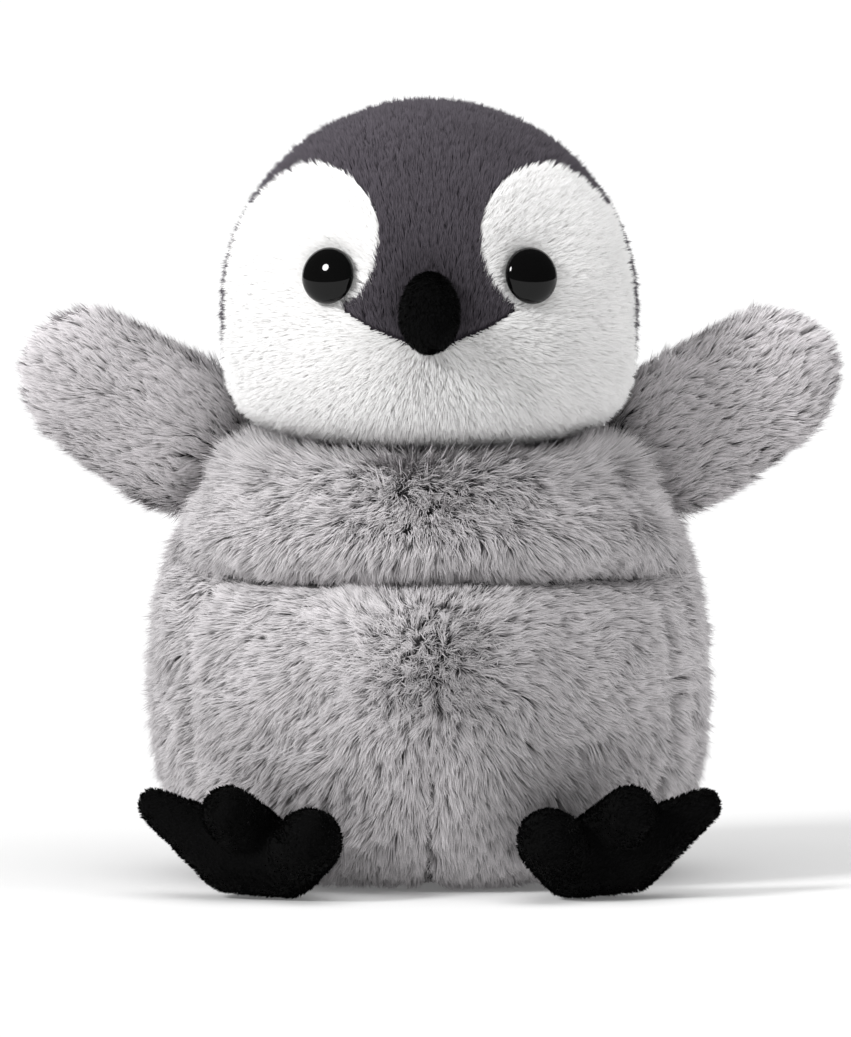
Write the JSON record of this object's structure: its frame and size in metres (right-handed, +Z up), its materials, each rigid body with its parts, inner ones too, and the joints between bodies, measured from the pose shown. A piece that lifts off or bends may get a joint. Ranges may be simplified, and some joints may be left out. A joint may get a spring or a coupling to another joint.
{
  "type": "plush penguin",
  "caption": "Seated soft toy penguin chick, sewn from plush panels around soft filling, with a ball head, raised paddle wings, splayed toed feet and a small tail.",
  "frame": {"origin": "on the floor, at the middle of the flat seat under the body", "axes": "+Z up, -Y is the way the face looks, +X is the toy's own left, along the spread wings"},
  "size_m": [0.2532, 0.201, 0.242],
  "materials": {
    "grey_plush": "long soft two-tone grey pile, darker at the root",
    "slate_plush": "short dense slate pile",
    "white_plush": "short dense white pile",
    "black_velboa": "very short black pile",
    "polyester_filling": "loose polyester fibre",
    "pouch_cotton": "plain cotton weave",
    "plastic_pellets": "round pellets",
    "label_satin": "blank satin ribbon",
    "eye_plastic": "polished black",
    "washer_plastic": "moulded"
  },
  "bodies": {
    "torso": {"chest_panel": "grey_plush", "belly_panel_left": "grey_plush", "belly_panel_right": "grey_plush", "back_panel_left": "grey_plush", "back_panel_right": "grey_plush", "seat_panel": "grey_plush", "body_stuffing": "polyester_filling", "pellet_pouch": "pouch_cotton", "pellet_filling": "plastic_pellets", "care_label": "label_satin"},
    "neck": {"neck_stuffing": "polyester_filling"},
    "head": {"forehead_panel": "slate_plush", "hood_panel_left": "slate_plush", "hood_panel_right": "slate_plush", "cheek_panel_left": "white_plush", "cheek_panel_right": "white_plush", "head_stuffing": "polyester_filling", "beak_cover": "black_velboa", "beak_stuffing": "polyester_filling", "eye_left": "eye_plastic", "eye_right": "eye_plastic", "eye_washer_left": "washer_plastic", "eye_washer_right": "washer_plastic"},
    "wing_left": {"wing_front_panel_left": "grey_plush", "wing_back_panel_left": "grey_plush", "wing_stuffing_left": "polyester_filling"},
    "wing_right": {"wing_front_panel_right": "grey_plush", "wing_back_panel_right": "grey_plush", "wing_stuffing_right": "polyester_filling"},
    "foot_left": {"foot_upper_left": "black_velboa", "foot_sole_left": "black_velboa", "foot_stuffing_left": "polyester_filling"},
    "foot_right": {"foot_upper_right": "black_velboa", "foot_sole_right": "black_velboa", "foot_stuffing_right": "polyester_filling"},
    "tail": {"tail_upper_panel": "grey_plush", "tail_lower_panel": "grey_plush", "tail_stuffing": "polyester_filling"}
  },
  "joints": [
    {"name": "head_nod", "type": "hinge", "parent": "torso", "child": "neck", "pos_m": [0, 0, 0.141], "axis": [1, 0, 0], "range_deg": [-7, 7], "stiffness_Nm_per_rad": 2.5},
    {"name": "head_turn", "type": "hinge", "parent": "neck", "child": "head", "pos_m": [0, 0, 0.141], "axis": [0, 0, 1], "range_deg": [-20, 20], "stiffness_Nm_per_rad": 0.8},
    {"name": "wing_flap_left", "type": "hinge", "parent": "torso", "child": "wing_left", "pos_m": [0.076, 0.012, 0.14], "axis": [0, -1, 0], "range_deg": [-40, 20], "stiffness_Nm_per_rad": 0.08},
    {"name": "wing_flap_right", "type": "hinge", "parent": "torso", "child": "wing_right", "pos_m": [-0.076, 0.012, 0.14], "axis": [0, 1, 0], "range_deg": [-40, 20], "stiffness_Nm_per_rad": 0.08},
    {"name": "foot_flex_left", "type": "hinge", "parent": "torso", "child": "foot_left", "pos_m": [0.048, -0.069, 0.0118], "axis": [-0.8051, -0.5931, 0], "range_deg": [0, 22], "stiffness_Nm_per_rad": 0.06},
    {"name": "foot_flex_right", "type": "hinge", "parent": "torso", "child": "foot_right", "pos_m": [-0.048, -0.069, 0.0118], "axis": [-0.8051, 0.5931, 0], "range_deg": [0, 22], "stiffness_Nm_per_rad": 0.06},
    {"name": "tail_flex", "type": "hinge", "parent": "torso", "child": "tail", "pos_m": [0, 0.0745, 0.025], "axis": [1, 0, 0], "range_deg": [-8, 15], "stiffness_Nm_per_rad": 0.006}
  ]
}
